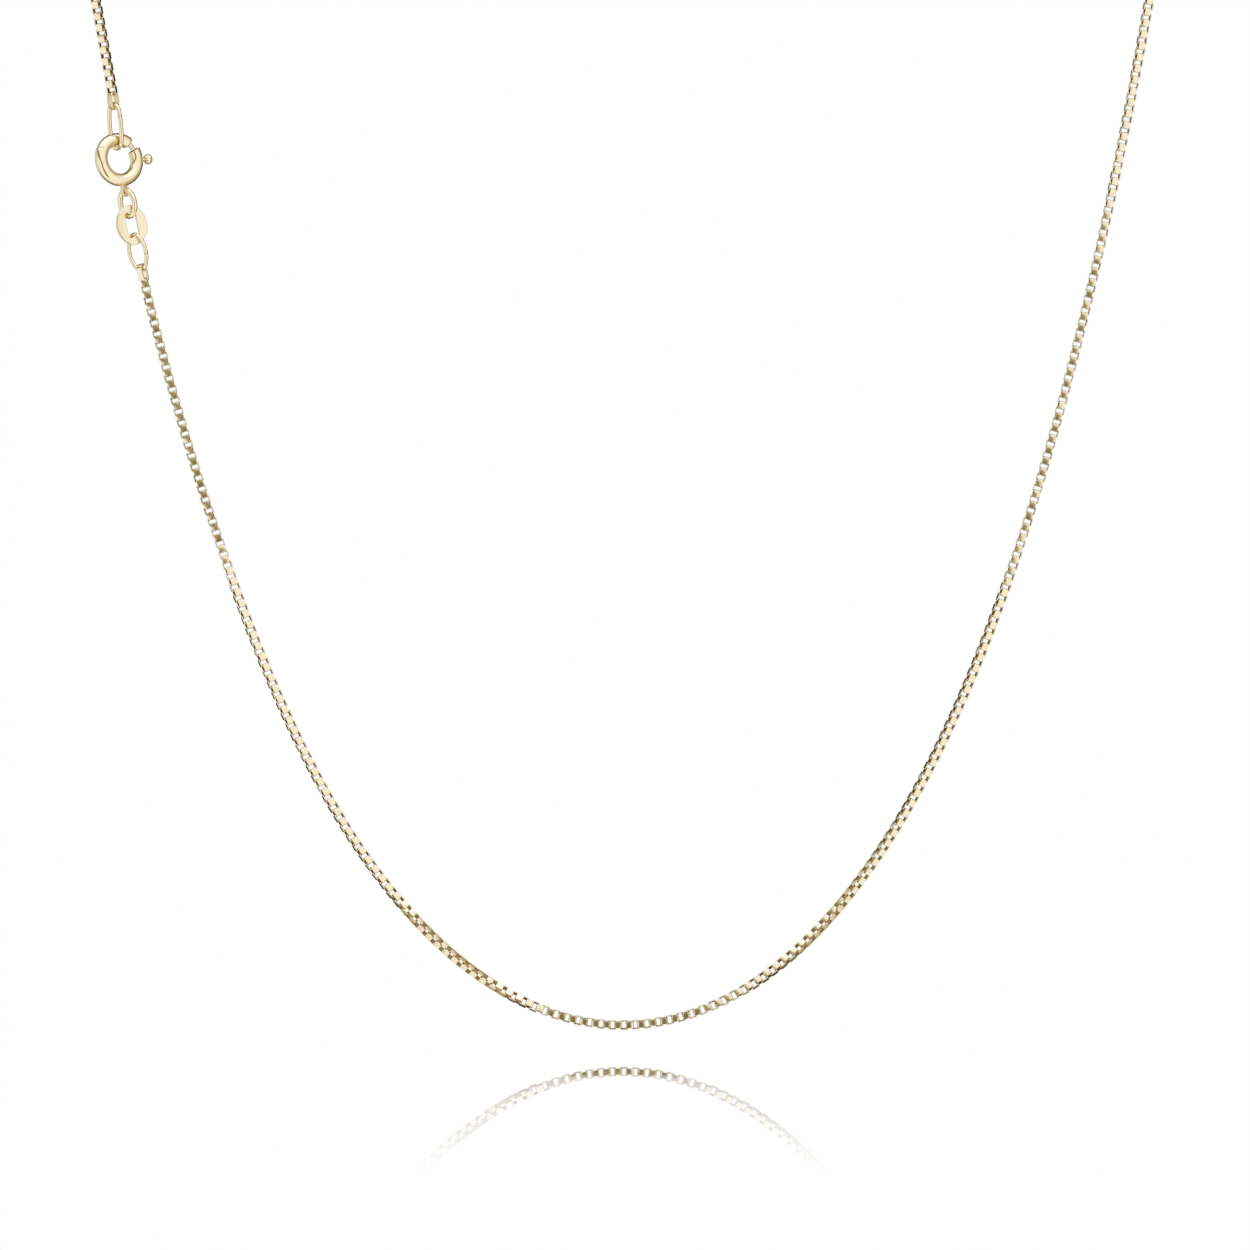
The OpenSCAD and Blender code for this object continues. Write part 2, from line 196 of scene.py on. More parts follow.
def hung(start, lean, place, turn):
    """Puts a piece on such a line: its own +Y is up the line and its own +Z faces the front."""
    return (Matrix.Translation(start + place * down(lean))
            @ turned(-lean, "Y") @ turned(90, "X") @ turned(-turn, "Y"))


clasp_foot = front_point(-across(CLASP_RISE))
tag_foot = clasp_foot - (lower_loop_top + END_LOOP_L) * down(LOWER_LEAN)
ring_centre = tag_foot - tag_seat * down(CLASP_LEAN)

# The upper ring bears on the spring ring where the tube is square to its pull.
ring_side = hung(ring_centre, CLASP_LEAN, 0, RING_TURN).to_3x3().col[0]
hook_angle = math.radians((CLASP_LEAN - UPPER_LEAN) * math.cos(math.radians(RING_TURN)))
hook_side = math.sin(hook_angle) * ring_side - math.cos(hook_angle) * down(CLASP_LEAN)
hook = ring_centre + ring_mid_r * hook_side + TUBE_D / 2 * down(UPPER_LEAN)
clasp_head = hook + (upper_loop_low - END_LOOP_L) * down(UPPER_LEAN)


# Materials
def linear(colour):
    """An sRGB hex colour as the linear values that a shader takes."""
    parts = [int(colour[i:i + 2], 16) / 255 for i in (1, 3, 5)]
    return tuple(c / 12.92 if c <= 0.04045 else ((c + 0.055) / 1.055) ** 2.4 for c in parts) + (1.0,)


def add_node(tree, kind, inputs=None, **settings):
    """Adds a node: its settings by name, and its inputs by name or number, as values or as links."""
    node = tree.nodes.new(kind)
    for name, value in settings.items():
        setattr(node, name, value)
    for name, value in (inputs or {}).items():
        if isinstance(value, bpy.types.NodeSocket):
            tree.links.new(value, node.inputs[name])
        else:
            node.inputs[name].default_value = value
    return node


# Noise mostly keeps between these values.
NOISE_LOW, NOISE_HIGH = 0.35, 0.65


def polished_gold(name, colour, roughness, haze, haze_size, ripple, ripple_size):
    """14 carat yellow gold, rolled or drawn and then polished. The eye sees a pale warm mirror with a faint
    haze of polishing marks, and surfaces that are not quite flat, so that reflections waver a little. The
    haze adds to the roughness in patches of its size, and the ripples have their depth and size, in mm."""
    material = bpy.data.materials.new(name)
    material.use_nodes = True
    tree = material.node_tree
    tree.nodes.clear()
    place = add_node(tree, "ShaderNodeTexCoord").outputs["Object"]
    marks = add_node(tree, "ShaderNodeTexNoise", {
        "Vector": place, "Scale": 1 / (haze_size * MM), "Detail": 3.0})
    sheen = add_node(tree, "ShaderNodeMapRange", {
        "Value": marks.outputs["Fac"], "From Min": NOISE_LOW, "From Max": NOISE_HIGH,
        "To Min": roughness, "To Max": roughness + haze})
    waver = add_node(tree, "ShaderNodeTexNoise", {
        "Vector": place, "Scale": 1 / (ripple_size * MM), "Detail": 1.0})
    bump = add_node(tree, "ShaderNodeBump", {
        "Height": waver.outputs["Fac"], "Distance": ripple * MM, "Strength": 1.0})
    metal = add_node(tree, "ShaderNodeBsdfPrincipled", {
        "Base Color": linear(colour), "Metallic": 1.0,
        "Roughness": sheen.outputs["Result"], "Normal": bump.outputs["Normal"]})
    add_node(tree, "ShaderNodeOutputMaterial", {"Surface": metal.outputs["BSDF"]})
    return material


strip_gold = polished_gold("rolled_strip_gold", "#F3E2BC", 0.10, 0.10, 0.25, 0.004, 0.5)
wire_gold = polished_gold("drawn_wire_gold", "#F3E2BC", 0.07, 0.06, 0.3, 0.006, 0.8)
tube_gold = polished_gold("bent_tube_gold", "#F3E2BC", 0.07, 0.06, 0.3, 0.006, 1.0)
tag_gold = polished_gold("pressed_tag_gold", "#F3E2BC", 0.10, 0.08, 0.3, 0.008, 1.2)
# The strip's cut edges are only tumbled, so they are rougher, and their paler colour is a painted
# highlight; the polish doesn't reach the inside of the links, so they are rougher, and their darker colour
# is painted shade between the links; the tube's bore stays as drawn and dull, and its dark brown is painted
# shade inside the tube.
painted_highlight_edge_gold = polished_gold("tumbled_edge_painted_highlight_gold", "#F8EBC4", 0.42, 0.12, 0.12, 0.003, 0.2)
painted_shade_inside_gold = polished_gold("dull_inside_painted_shade_gold", "#B4965F", 0.30, 0.12, 0.2, 0.004, 0.3)
painted_shade_bore_gold = polished_gold("unpolished_bore_painted_shade_gold", "#7A5A34", 0.45, 0.15, 0.2, 0.004, 0.4)


# Making pieces
def finish_piece(name, work, place, body, slot, *materials):
    """Turns a bmesh in mm into a piece in metres at its place. Each corner is shaded by the area of its
    faces, so that flats stay flat and the narrow bevels beside them look round."""
    bmesh.ops.transform(work, matrix=Matrix.Scale(MM, 4) @ place, verts=work.verts)
    mesh = bpy.data.meshes.new(name)
    work.to_mesh(mesh)
    work.free()
    mesh.shade_smooth()
    normals = [Vector() for _ in mesh.vertices]
    for face in mesh.polygons:
        pull = face.normal * face.area
        for vert in face.vertices:
            normals[vert] += pull
    mesh.normals_split_custom_set_from_vertices([normal.normalized() for normal in normals])
    piece = bpy.data.objects.new(name, mesh)
    scene.collection.objects.link(piece)
    for material in materials:
        mesh.materials.append(material)
    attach(piece, body)
    return piece


def faces_out(work):
    """Merges what was drawn twice and turns the faces outwards."""
    bmesh.ops.remove_doubles(work, verts=work.verts, dist=1e-5)
    bmesh.ops.recalc_face_normals(work, faces=work.faces)


def bevel(work, edges, width, segments):
    bmesh.ops.bevel(work, geom=edges, offset=width, segments=segments, profile=0.5,
                    affect="EDGES", material=-1)


def round_corners(work, radius, segments):
    bmesh.ops.bevel(work, geom=work.verts, offset=radius, segments=segments, profile=0.5,
                    affect="VERTICES", material=-1)


def sharp_edges(work, degrees=60):
    return [edge for edge in work.edges if edge.calc_face_angle(0) > math.radians(degrees)]


def close_hole(work, edges):
    bmesh.ops.edgeloop_fill(work, edges=edges)


def strip_link(width, length, strip, thick, corner, rim):
    """One link of the chain: flat strip bent to a square, long along Z, its hole along Y."""
    work = bmesh.new()
    bmesh.ops.create_cube(work, size=1)
    bmesh.ops.scale(work, vec=(width, strip, length), verts=work.verts)
    open_faces = [face for face in work.faces if abs(face.normal.y) > 0.5]
    bmesh.ops.delete(work, geom=open_faces, context="FACES")
    corners = [edge for edge in work.edges if abs((edge.verts[0].co - edge.verts[1].co).y) > strip / 2]
    bevel(work, corners, corner, 1)
    bmesh.ops.recalc_face_normals(work, faces=work.faces)
    bmesh.ops.solidify(work, geom=list(work.faces), thickness=thick)
    faces_out(work)
    bevel(work, sharp_edges(work), rim, 1)
    for face in work.faces:
        middle = face.calc_center_median()
        inside = face.normal.x * middle.x + face.normal.z * middle.z < 0
        # Cut edges get the paler gold, a painted highlight; the inner faces get the darker gold, painted
        # shade between the links.
        face.material_index = 1 if abs(face.normal.y) > 0.9 else 2 * int(inside)
    return work


def wire_section(work, wire_d, sides=24):
    """Outline of round wire: a circle in the XY plane."""
    bmesh.ops.create_circle(work, segments=sides, radius=wire_d / 2)


def band_section(work, thick, width, edge):
    """Outline of flat band: a rectangle with rounded corners, thick along X and wide along Y."""
    bmesh.ops.create_grid(work, x_segments=1, y_segments=1, size=0.5)
    bmesh.ops.scale(work, vec=(thick, width, 1), verts=work.verts)
    round_corners(work, edge, 3)
    bmesh.ops.delete(work, geom=work.faces, context="FACES_ONLY")


def spin_oval(work, length, width, fullness, end_steps, side_steps, seam_at=0, seam_gap=0):
    """Spins what is drawn round an oval of four arcs in the XY plane, long along Y. The oval's middle line
    is length by width, and it starts at its right side, seam_at degrees up the side's arc."""
    end_r = width / 2 * fullness
    end_c = length / 2 - end_r
    side_c = (end_c ** 2 - (width / 2 - end_r) ** 2) / (width - 2 * end_r)
    split = math.atan2(end_c, side_c)
    seam, gap = math.radians(seam_at), seam_gap / (width / 2 + side_c)
    bmesh.ops.rotate(work, matrix=Matrix.Rotation(math.pi / 2, 3, "X"), verts=work.verts)
    bmesh.ops.translate(work, vec=(width / 2, 0, 0), verts=work.verts)
    bmesh.ops.rotate(work, cent=(-side_c, 0, 0), matrix=Matrix.Rotation(seam, 3, "Z"), verts=work.verts)
    front = list(work.verts) + list(work.edges)
    first_edges = list(work.edges)
    turns = [((-side_c, 0), split - seam, side_steps), ((0, end_c), math.pi - 2 * split, end_steps),
             ((side_c, 0), 2 * split, 2 * side_steps), ((0, -end_c), math.pi - 2 * split, end_steps),
             ((-side_c, 0), split + seam - gap, side_steps)]
    for (x, y), angle, steps in turns:
        spun = bmesh.ops.spin(work, geom=front, cent=(x, y, 0), axis=(0, 0, 1), angle=angle, steps=steps)
        front = spun["geom_last"]
    if seam_gap and work.faces:
        close_hole(work, first_edges)
        close_hole(work, [part for part in front if isinstance(part, bmesh.types.BMEdge)])
    faces_out(work)


def spin_path(work, sides, path):
    """Spins a new bmesh's circle round the spring ring's axis through stops of (angle, radius, steps), and
    returns the edges at its start and at its end. Stops at almost one angle make a shoulder or a rim."""
    at, radius, _ = path[0]
    circle = bmesh.ops.create_circle(work, segments=sides, radius=radius)["verts"]
    place = turned(at, "Z") @ Matrix.Translation((ring_mid_r, 0, 0)) @ turned(90, "X")
    bmesh.ops.transform(work, matrix=place, verts=circle)
    first = list(work.edges)
    front = circle + first
    for angle, new_radius, steps in path[1:]:
        spun = bmesh.ops.spin(work, geom=front, cent=(0, 0, 0), axis=(0, 0, 1),
                              angle=math.radians(angle - at), steps=steps)
        front = spun["geom_last"]
        middle = turned(angle, "Z") @ Vector((ring_mid_r, 0, 0))
        verts = [part for part in front if isinstance(part, bmesh.types.BMVert)]
        bmesh.ops.scale(work, vec=[new_radius / radius] * 3, space=Matrix.Translation(-middle), verts=verts)
        at, radius = angle, new_radius
    return first, [part for part in front if isinstance(part, bmesh.types.BMEdge)]


# The chain
# How far the links are turned about the strand, outer side to the back, at places across the front in mm.
# The links look the same every 90 degrees, so the turn carries on past -45 on the right.
FRONT_TURNS = [(-48.5, 3), (-42, 3), (-39, -17), (-33, -17), (-24, -20), (-20, -50), (-15, -54),
               (-11, -30), (-6, 3), (6, 3), (11, -10), (16, -26), (21, -44), (25, -62), (30, -71),
               (38, -73), (41, -86), (43, -88), (49, -87), (50.5, -81), (55, -80)]
# The hidden stretch turns evenly on to this at the left shoulder, and the head keeps it down to the clasp.
HIDDEN_TURN_END = -73
# No two links lie quite alike: how far they stray about the strand and along it, in degrees.
LINK_SWAY, LINK_TILT = 1.6, 1.0

# Linked strips bear on each other, inside to inside.
PITCH = LINK_L - 2 * STRIP_T
# How many steps the route's stretches and its head are worked out in.
FINE, HEAD_FINE = 900, 60


def left_back_point(t):
    """Point of the hidden stretch, from the nape (0) to the left shoulder (1)."""
    point = back_point(sag, t)
    return Vector((SHOULDER_DRAW * t - point.x, point.y, point.z))


def head_point(t):
    """Point from the left shoulder (0) to the clasp's head (1), on a cubic that ends along its chord."""
    shoulder = left_back_point(1)
    falling = Vector((1 / math.cosh(half_w / sag), 0, -math.tanh(half_w / sag)))
    end = clasp_head + SOLDER_SINK * down(UPPER_LEAN)
    chord = end - shoulder
    return ((1 - t) ** 3 * shoulder + 3 * (1 - t) ** 2 * t * (shoulder + chord.length / 3 * falling)
            + 3 * (1 - t) * t ** 2 * (end - chord / 3) + t ** 3 * end)


start_x = -across(CLASP_RISE + SOLDER_SINK)
route = [front_point(start_x + (half_w - start_x) * i / FINE) for i in range(FINE)]
route += [back_point(sag, 1 - i / FINE) for i in range(FINE)]
route += [left_back_point(i / FINE) for i in range(FINE)]
route += [head_point(i / HEAD_FINE) for i in range(HEAD_FINE + 1)]
lengths = [0.0]
for a, b in zip(route, route[1:]):
    lengths.append(lengths[-1] + (b - a).length)
chain_l = lengths[-1]
link_count = round(chain_l / PITCH)
pitch = chain_l / link_count

# The way ahead at each point, and the way its outer side faces, carried along without a twist of its own.
facings, facing = [], Vector((0, -1, 0))
for i, point in enumerate(route):
    ahead = (route[min(i + 1, len(route) - 1)] - route[max(i - 1, 0)]).normalized()
    facing = (facing - facing.dot(ahead) * ahead).normalized()
    facings.append((ahead, facing))

front_l = lengths[FINE]
hidden_l = lengths[3 * FINE] - front_l


def link_turn(along, x):
    """The turn of a link at a length along the chain, and at a place across if it is in front."""
    if along <= front_l:
        return lookup(x, FRONT_TURNS, eased=True)
    share = min((along - front_l) / hidden_l, 1)
    return FRONT_TURNS[-1][1] + (HIDDEN_TURN_END - FRONT_TURNS[-1][1]) * share


link_shape = strip_link(CHAIN_W, LINK_L, STRIP_W, STRIP_T, LINK_CORNER, LINK_RIM)
link_mesh = bpy.data.meshes.new("link_pattern")
link_shape.to_mesh(link_mesh)
link_shape.free()
link_verts = len(link_mesh.vertices)

random.seed(7)
chain_work = bmesh.new()
at = 0
for k in range(link_count):
    along = (k + 0.5) * pitch
    while lengths[at + 1] < along:
        at += 1
    share = (along - lengths[at]) / (lengths[at + 1] - lengths[at])
    middle = route[at].lerp(route[at + 1], share)
    ahead, facing = facings[at]
    side = ahead.cross(facing)
    sway = random.gauss(0, LINK_SWAY)
    tilt = random.gauss(0, LINK_TILT)
    turn = math.radians(link_turn(along, middle.x) + sway + 90 * (k % 2))
    out = math.cos(turn) * facing + math.sin(turn) * side
    over = ahead.cross(out)
    basis = Matrix((out, over, ahead)).transposed().to_4x4()
    chain_work.from_mesh(link_mesh)
    chain_work.verts.ensure_lookup_table()
    bmesh.ops.transform(chain_work, matrix=Matrix.Translation(middle) @ basis @ turned(tilt, "Y"),
                        verts=chain_work.verts[-link_verts:])
chain_links = finish_piece("chain_links", chain_work, Matrix(), "necklace", "chain_gold",
                           strip_gold, painted_highlight_edge_gold, painted_shade_inside_gold)
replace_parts(chain_links, "chain")

for name, place in [("upper_end_loop", hung(hook, UPPER_LEAN, upper_loop_mid, upper_loop_turn)),
                    ("lower_end_loop", hung(tag_foot, LOWER_LEAN, lower_loop_mid, lower_loop_turn))]:
    loop = bmesh.new()
    band_section(loop, END_BAND_T, END_BAND_W, END_BAND_EDGE)
    spin_oval(loop, END_LOOP_L - END_BAND_T, END_LOOP_W - END_BAND_T, END_LOOP_FULLNESS,
              end_steps=24, side_steps=6)
    finish_piece(name, loop, place, "necklace", "chain_gold", wire_gold)

# The clasp's rings and link. A jump ring's two ends meet at a fine seam, and the thick link's are soldered.
for name, node, place, sizes, seam_at, seam_gap in [
        ("upper_jump_ring", "upper_ring", hung(hook, UPPER_LEAN, upper_ring_mid, upper_ring_turn),
         (UPPER_RING_L, *upper_ring_size), 6, 0.01),
        ("thick_clasp_link", "clasp_link", hung(ring_centre, CLASP_LEAN, clasp_link_mid, clasp_link_turn),
         (CLASP_LINK_L, *clasp_link_size), 0, 0),
        ("lower_jump_ring", "lower_ring", hung(tag_foot, LOWER_LEAN, lower_ring_mid, lower_ring_turn),
         (LOWER_RING_L, *lower_ring_size), -9, 0.005)]:
    length, width, wire_d, fullness = sizes
    ring = bmesh.new()
    wire_section(ring, wire_d)
    spin_oval(ring, length - wire_d, width - wire_d, fullness,
              end_steps=32, side_steps=12, seam_at=seam_at, seam_gap=seam_gap)
    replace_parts(finish_piece(name, ring, place, "necklace", "clasp_gold", wire_gold), node)


# The spring ring
# The closed part of the tube is a little thinner, and at the junction the open part is crimped over it.
RING_SIDES, JUNCTION_ANGLE, JUNCTION_STEP = 32, 146.0, 0.015
BACK_TUBE_R = TUBE_D / 2 - JUNCTION_STEP
# In degrees: what is left free beyond the latch's ends, and between stops that make a shoulder or a rim.
END_SPARE, STOP_APART = 2.0, 0.01
ring_place = hung(ring_centre, CLASP_LEAN, 0, RING_TURN)
bore_r, tip_hole_r = BORE_D / 2, LATCH_D / 2 + SLIDE_GAP
slot_half = STEM_D / 2 + SLIDE_GAP
slot_spare = math.degrees(math.asin(slot_half / (ring_mid_r + bore_r)))
slot_from, slot_to = KNOB_ANGLE - LATCH_TRAVEL - slot_spare + 360, KNOB_ANGLE + slot_spare + 360
bore_end, mouth = MOUTH_FROM - BORE_SWEEP + 360, MOUTH_FROM + 360


def arc_angle(length):
    """The angle that a short length takes up on the ring's middle line."""
    return math.degrees(length / ring_mid_r)


def spring_ring_tube():
    """The bent tube: its closed end with a rounded shoulder and a hole for the latch's tip, the crimp that
    holds the spring, the open end with its bore, and the slot that the knob's stem slides in."""
    shoulder_r, rim_r, funnel, crimp_depth, wall_slack = 0.25, 0.04, 0.14, 0.04, 0.05
    crimp_edge, crimp_floor = 1.4, 0.5
    flat_r, crimp_r, painted_shade_r = BACK_TUBE_R - shoulder_r, BACK_TUBE_R - crimp_depth, bore_r + 0.6 * funnel
    path = [(MOUTH_TO + TIP_ENTRY + END_SPARE, tip_hole_r, 0), (MOUTH_TO, tip_hole_r, 1)]
    path += [(MOUTH_TO + arc_angle(shoulder_r * (1 - math.cos(math.radians(a)))) + STOP_APART,
              flat_r + shoulder_r * math.sin(math.radians(a)), 1) for a in (0, 18, 36, 54, 72, 90)]
    path += [(JUNCTION_ANGLE - crimp_edge, BACK_TUBE_R, 22), (JUNCTION_ANGLE - crimp_floor, crimp_r, 1),
             (JUNCTION_ANGLE + crimp_floor, crimp_r, 1), (JUNCTION_ANGLE + crimp_edge, TUBE_D / 2, 1),
             (slot_from, TUBE_D / 2, 40), (slot_to, TUBE_D / 2, 13)]
    path += [(mouth - arc_angle(rim_r * (1 - math.sin(math.radians(a)))) + STOP_APART,
              TUBE_D / 2 - rim_r + rim_r * math.cos(math.radians(a)), steps)
             for a, steps in ((0, 5), (30, 1), (60, 1), (90, 1))]
    path += [(mouth, bore_r + funnel, 1), (mouth - arc_angle(2 * funnel), bore_r, 1),
             (slot_to, bore_r, 5), (slot_from, bore_r, 13), (bore_end, bore_r, 15)]
    work = bmesh.new()
    for end in spin_path(work, RING_SIDES, path):
        close_hole(work, end)
    slot_faces = []
    for face in work.faces:
        middle = face.calc_center_median()
        out = math.hypot(middle.x, middle.y) - ring_mid_r
        angle = math.degrees(math.atan2(middle.y, middle.x)) % 360
        wall_r = math.hypot(out, middle.z)
        in_slot = slot_from < angle < slot_to and abs(middle.z) < slot_half
        if in_slot and out > 0 and wall_r > bore_r - wall_slack:
            slot_faces.append(face)
    bmesh.ops.delete(work, geom=slot_faces, context="FACES")
    bmesh.ops.bridge_loops(work, edges=[edge for edge in work.edges if edge.is_boundary])
    faces_out(work)
    for face in work.faces:
        middle = face.calc_center_median()
        out = math.hypot(middle.x, middle.y) - ring_mid_r
        angle = math.atan2(middle.y, middle.x) % math.tau
        wall_r = math.hypot(out, middle.z)
        in_bore = math.radians(bore_end - 360) % math.tau < angle or angle < math.radians(MOUTH_FROM)
        # The bore's inner walls get the dark brown gold: painted shade inside the tube.
        face.material_index = int(in_bore and wall_r < painted_shade_r and len(face.verts) < 5)
    return work


def foot_eye():
    """The small eye soldered to the foot of the ring, with its fillet of solder."""
    solder_r, solder_spread, solder_sink = 0.22, (1.3, 0.7, 0.8), 0.06
    work = bmesh.new()
    wire_section(work, EYE_WIRE_D, 16)
    bmesh.ops.rotate(work, matrix=Matrix.Rotation(math.pi / 2, 3, "X"), verts=work.verts)
    bmesh.ops.translate(work, vec=((EYE_D - EYE_WIRE_D) / 2, 0, 0), verts=work.verts)
    bmesh.ops.spin(work, geom=list(work.verts) + list(work.edges), cent=(0, 0, 0), axis=(0, 0, 1),
                   angle=math.tau, steps=36, use_merge=True)
    solder = bmesh.ops.create_uvsphere(work, u_segments=24, v_segments=14, radius=solder_r)["verts"]
    bmesh.ops.scale(work, vec=solder_spread, verts=solder)
    bmesh.ops.translate(work, vec=(0, EYE_D / 2 - solder_sink, 0), verts=solder)
    faces_out(work)
    place = Matrix.Translation((0, -eye_mid, 0)) @ turned(RING_TURN - eye_turn, "Y")
    bmesh.ops.transform(work, matrix=place, verts=work.verts)
    return work


spring_ring = finish_piece("spring_ring_tube", spring_ring_tube(), ring_place, "necklace", "clasp_gold",
                           tube_gold, painted_shade_bore_gold)
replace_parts(spring_ring, "spring_ring")
finish_piece("spring_ring_eye", foot_eye(), ring_place, "necklace", "clasp_gold", wire_gold)


# The latch
def latch_rod():
    """The curved rod: a thick guide that slides in the bore, and the thin latch that crosses the mouth."""
    guide_r, rod_r, tip_r = BORE_D / 2 - SLIDE_GAP, LATCH_D / 2, 0.12
    low, tip = KNOB_ANGLE - GUIDE_REACH, MOUTH_TO + TIP_ENTRY
    high = min(KNOB_ANGLE + GUIDE_REACH, MOUTH_FROM - END_SPARE)
    # The guide's rounded ends: degrees inwards, and how much thinner it is there.
    rounding = [(0, 0.06), (0.6, 0.02), (1.4, 0)]
    path = [(low + inwards, guide_r - thinner, 1) for inwards, thinner in rounding]
    path += [(high - inwards, guide_r - thinner, steps)
             for (inwards, thinner), steps in zip(reversed(rounding), (8, 1, 1))]
    path += [(high + 0.1, rod_r + 0.03, 1), (high + 0.8, rod_r, 1)]
    path += [(tip - arc_angle(tip_r * (1 - math.sin(math.radians(a)))),
              rod_r - tip_r + tip_r * math.cos(math.radians(a)), steps)
             for a, steps in ((0, 16), (22, 1), (45, 1), (67, 1), (90, 1))]
    work = bmesh.new()
    for end in spin_path(work, 24, path):
        close_hole(work, end)
    faces_out(work)
    return work


def latch_knob():
    """The stem, and the knob pressed as two lobes with a crease between them along the stem."""
    knob_r, waist, stretch = RING_D / 2 + STEM_L + KNOB_D / 2, 0.8, 1.06
    work = bmesh.new()
    stem = bmesh.ops.create_cone(work, cap_ends=True, segments=20, radius1=STEM_D / 2, radius2=STEM_D / 2,
                                 depth=knob_r - ring_mid_r)["verts"]
    stem_place = Matrix.Translation(((knob_r + ring_mid_r) / 2, 0, 0)) @ turned(90, "Y")
    bmesh.ops.transform(work, matrix=stem_place, verts=stem)
    knob = bmesh.ops.create_uvsphere(work, u_segments=40, v_segments=28, radius=KNOB_D / 2)["verts"]
    crease = [vert for vert in knob if abs(vert.co.z) < 0.01]
    bmesh.ops.scale(work, vec=(waist, waist, 1), verts=crease)
    bmesh.ops.scale(work, vec=(1, 1, stretch), verts=knob)
    knob_place = Matrix.Translation((knob_r, 0, 0)) @ turned(90, "X")
    bmesh.ops.transform(work, matrix=knob_place, verts=knob)
    faces_out(work)
    bmesh.ops.transform(work, matrix=turned(KNOB_ANGLE, "Z"), verts=work.verts)
    return work


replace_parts(finish_piece("latch_rod", latch_rod(), ring_place, "latch", "clasp_gold", wire_gold), "latch")
finish_piece("latch_knob", latch_knob(), ring_place, "latch", "clasp_gold", wire_gold)


# The tag
def oval_tag():
    """The flat oval plate with its upright hole, slightly domed and with rounded edges, as tumbling leaves
    it. Its rim and the hole's have as many corners, so that the plate between them is bridged evenly."""
    edge_r, dome, hole_corner = 0.09, 0.03, 0.2 * TAG_HOLE_W
    hole_l = TAG_L - 2 * TAG_BAR
    work = bmesh.new()
    bmesh.ops.create_vert(work, co=(0, 0, 0))
    spin_oval(work, TAG_L, TAG_W, TAG_FULLNESS, end_steps=20, side_steps=8)
    hole = bmesh.new()
    bmesh.ops.create_grid(hole, x_segments=1, y_segments=1, size=0.5)
    bmesh.ops.scale(hole, vec=(TAG_HOLE_W, hole_l, 1), verts=hole.verts)
    round_corners(hole, hole_corner, 5)
    bmesh.ops.delete(hole, geom=hole.faces, context="FACES_ONLY")
    straight = [edge for edge in hole.edges if edge.calc_length() > hole_corner]
    for axis, cuts in ((0, 18), (1, 6)):
        sides = [edge for edge in straight if abs((edge.verts[0].co - edge.verts[1].co)[axis]) < 1e-4]
        bmesh.ops.subdivide_edges(hole, edges=sides, cuts=cuts)
    hole_mesh = bpy.data.meshes.new("tag_hole")
    hole.to_mesh(hole_mesh)
    hole.free()
    work.from_mesh(hole_mesh)
    spokes = bmesh.ops.bridge_loops(work, edges=work.edges)["edges"]
    bmesh.ops.subdivide_edges(work, edges=spokes, cuts=3, use_grid_fill=True)
    bmesh.ops.recalc_face_normals(work, faces=work.faces)
    bmesh.ops.solidify(work, geom=list(work.faces), thickness=TAG_T)
    faces_out(work)
    middle = sum(vert.co.z for vert in work.verts) / len(work.verts)
    bmesh.ops.translate(work, vec=(0, 0, -middle), verts=work.verts)
    bevel(work, sharp_edges(work), edge_r, 3)
    for vert in work.verts:
        vert.co.z *= 1 - dome * (2 * vert.co.x / TAG_W) ** 2
        vert.co.z -= dome * ((2 * vert.co.x / TAG_W) ** 2 - 0.5)
    return work


tag_place = hung(ring_centre, CLASP_LEAN, tag_mid, TAG_TURN)
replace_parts(finish_piece("oval_tag", oval_tag(), tag_place, "necklace", "clasp_gold", tag_gold), "tag")


# The camera
# The photograph is 1250 pixels wide, with 9.75 of them to the millimetre at the front of the necklace.
PICTURE_W = 1250 / 9.75
CAMERA_AWAY, CAMERA_RIGHT, CAMERA_RISE = 700.0, 0.46, 41.08
SENSOR_W = 36.0
camera_data = bpy.data.cameras.new("camera")
camera = bpy.data.objects.new("camera", camera_data)
scene.collection.objects.link(camera)
scene.camera = camera
camera.location = Vector((CAMERA_RIGHT, -SHOULDER_DEPTH - CAMERA_AWAY, lowest + CAMERA_RISE)) * MM
camera.rotation_euler = (math.pi / 2, 0, 0)
camera_data.sensor_width = SENSOR_W
camera_data.lens = SENSOR_W * CAMERA_AWAY / PICTURE_W
camera_data.clip_start = 0.01
scene.view_settings.view_transform = "Standard"

# The studio's light
world = bpy.data.worlds.new("studio")
scene.world = world
world.use_nodes = True
tree = world.node_tree
tree.nodes.clear()
direction = add_node(tree, "ShaderNodeTexCoord").outputs["Generated"]
parts = add_node(tree, "ShaderNodeSeparateXYZ", {0: direction}).outputs
to_camera = add_node(tree, "ShaderNodeMath", {0: parts["Y"], 1: -1.0}, operation="MULTIPLY").outputs[0]
angle = add_node(tree, "ShaderNodeMath", {0: to_camera}, operation="ARCCOSINE").outputs[0]
share = add_node(tree, "ShaderNodeMath", {0: angle, 1: math.pi}, operation="DIVIDE").outputs[0]

# Light of each brightness has its tint: dim light is the warm room's, and bright light bleaches. Green and
# blue are given as shares of the brightness.
GREEN = [(0.1, 0.8), (0.26, 0.84), (0.45, 0.89), (0.78, 0.99), (1.0, 1.04), (1.25, 1.06)]
BLUE = [(0.1, 0.35), (0.26, 0.42), (0.45, 0.54), (0.78, 0.88), (1.0, 1.08), (1.25, 1.35)]


def light(level):
    """Colour of light of a brightness, at half its strength."""
    return level / 2, level / 2 * lookup(level, GREEN), level / 2 * lookup(level, BLUE), 1


def set_stops(color_ramp, stops):
    """Places a new ramp's stops, from a list of positions and colours."""
    while len(color_ramp.elements) < len(stops):
        color_ramp.elements.new(0.5)
    for element, (position, color) in zip(color_ramp.elements, stops):
        element.position = position
        element.color = color


